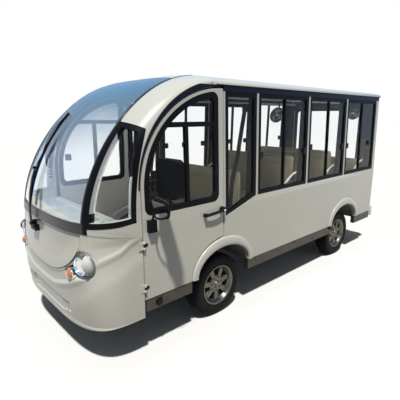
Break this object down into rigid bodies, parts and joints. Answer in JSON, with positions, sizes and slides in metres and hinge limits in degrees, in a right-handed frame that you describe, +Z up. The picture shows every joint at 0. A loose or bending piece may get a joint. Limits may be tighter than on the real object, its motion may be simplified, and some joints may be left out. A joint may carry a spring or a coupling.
{
  "type": "closed electric minibus",
  "caption": "Closed electric shuttle minibus with a bubble windscreen, arched front doors, sliding side windows, steered front wheels and bench seats.",
  "frame": {"origin": "on the ground at the middle of the length and of the width", "axes": "-Y is forward, +X is the left side of the bus, +Z is up"},
  "size_m": [2.175, 4.3701, 2.072],
  "materials": {
    "white_gelcoat": "glossy moulded glass-fibre",
    "clear_glass": "clear safety glass",
    "black_plastic": "satin black",
    "dark_blue_paint": "satin dark blue-grey",
    "chassis_black": "satin black chassis paint",
    "grey_flooring": "ribbed flooring",
    "brushed_sill": "dull metal",
    "battery_grey": "moulded case",
    "alloy_silver": "bright cast alloy",
    "tyre_rubber": "black rubber",
    "lamp_clear": "clear lens over chrome",
    "lamp_amber": "amber and red lens",
    "beige_vinyl": "grained vinyl",
    "seat_frame_grey": "satin",
    "headliner_grey": "felt"
  },
  "bodies": {
    "chassis": {"arch_flares": "white_gelcoat", "armrests": "alloy_silver", "battery_pack": "battery_grey", "bonnet_panel": "white_gelcoat", "cabin_hoops": "dark_blue_paint", "ceiling_fans": "black_plastic", "cross_members": "chassis_black", "dashboard": "white_gelcoat", "door_hinges": "chassis_black", "floor": "grey_flooring", "frame_rails": "chassis_black", "front_arch": "white_gelcoat", "front_axle": "chassis_black", "headlamps": "lamp_clear", "headliner": "headliner_grey", "leaf_springs": "chassis_black", "left_side_panel": "white_gelcoat", "nose": "white_gelcoat", "rear_axle": "chassis_black", "rear_bumper": "white_gelcoat", "rear_wall": "white_gelcoat", "right_side_panels": "white_gelcoat", "roof": "white_gelcoat", "seat_backs": "beige_vinyl", "seat_bases": "seat_frame_grey", "seat_cushions": "beige_vinyl", "signal_lamps": "lamp_amber", "sills": "brushed_sill", "steering_column": "black_plastic", "tow_eyes": "chassis_black", "upper_rails": "dark_blue_paint", "wheelhouses": "chassis_black", "window_frames": "black_plastic", "window_glass": "clear_glass", "windscreen": "clear_glass", "wiper": "black_plastic"},
    "left_steering": {"left_knuckle": "chassis_black"},
    "right_steering": {"right_knuckle": "chassis_black"},
    "steering_wheel": {"steering_wheel": "black_plastic"},
    "driver_door": {"driver_door": "white_gelcoat", "driver_door_trim": "black_plastic", "driver_door_glass": "clear_glass"},
    "codriver_door": {"codriver_door": "white_gelcoat", "codriver_door_trim": "black_plastic", "codriver_door_glass": "clear_glass"},
    "front_passenger_door": {"front_passenger_door": "white_gelcoat", "front_passenger_door_trim": "black_plastic", "front_passenger_door_glass": "clear_glass"},
    "rear_passenger_door": {"rear_passenger_door": "white_gelcoat", "rear_passenger_door_trim": "black_plastic", "rear_passenger_door_glass": "clear_glass"},
    "front_left_wheel": {"front_left_rim": "alloy_silver", "front_left_tyre": "tyre_rubber"},
    "front_right_wheel": {"front_right_rim": "alloy_silver", "front_right_tyre": "tyre_rubber"},
    "rear_left_wheel": {"rear_left_rim": "alloy_silver", "rear_left_tyre": "tyre_rubber"},
    "rear_right_wheel": {"rear_right_rim": "alloy_silver", "rear_right_tyre": "tyre_rubber"}
  },
  "joints": [
    {"name": "steering_wheel_turn", "type": "hinge", "parent": "chassis", "child": "steering_wheel", "pos_m": [0.36, -1.39, 1.12], "axis": [0, 0.5361, 0.8442], "range_deg": [-420, 420]},
    {"name": "left_steer", "type": "hinge", "parent": "chassis", "child": "left_steering", "pos_m": [0.48, -0.915, 0.28], "axis": [0, 0, 1], "range_deg": [-30, 30]},
    {"name": "right_steer", "type": "hinge", "parent": "chassis", "child": "right_steering", "pos_m": [-0.48, -0.915, 0.28], "axis": [0, 0, 1], "range_deg": [-30, 30]},
    {"name": "front_left_spin", "type": "hinge", "parent": "left_steering", "child": "front_left_wheel", "pos_m": [0.595, -0.915, 0.28], "axis": [1, 0, 0], "continuous": true},
    {"name": "front_right_spin", "type": "hinge", "parent": "right_steering", "child": "front_right_wheel", "pos_m": [-0.595, -0.915, 0.28], "axis": [1, 0, 0], "continuous": true},
    {"name": "rear_left_spin", "type": "hinge", "parent": "chassis", "child": "rear_left_wheel", "pos_m": [0.595, 1.24, 0.28], "axis": [1, 0, 0], "continuous": true},
    {"name": "rear_right_spin", "type": "hinge", "parent": "chassis", "child": "rear_right_wheel", "pos_m": [-0.595, 1.24, 0.28], "axis": [1, 0, 0], "continuous": true},
    {"name": "driver_door_hinge", "type": "hinge", "parent": "chassis", "child": "driver_door", "pos_m": [0.762, -1.74, 1], "axis": [0, 0, -1], "range_deg": [0, 68]},
    {"name": "codriver_door_hinge", "type": "hinge", "parent": "chassis", "child": "codriver_door", "pos_m": [-0.762, -1.74, 1], "axis": [0, 0, 1], "range_deg": [0, 68]},
    {"name": "front_passenger_door_hinge", "type": "hinge", "parent": "chassis", "child": "front_passenger_door", "pos_m": [-0.762, -0.508, 1], "axis": [0, 0, 1], "range_deg": [0, 72]},
    {"name": "rear_passenger_door_hinge", "type": "hinge", "parent": "chassis", "child": "rear_passenger_door", "pos_m": [-0.762, 0.337, 1], "axis": [0, 0, 1], "range_deg": [0, 72]}
  ],
  "couplings": [
    {"joint": "left_steer", "follows": "steering_wheel_turn", "ratio": 0.071429},
    {"joint": "right_steer", "follows": "steering_wheel_turn", "ratio": 0.071429}
  ]
}
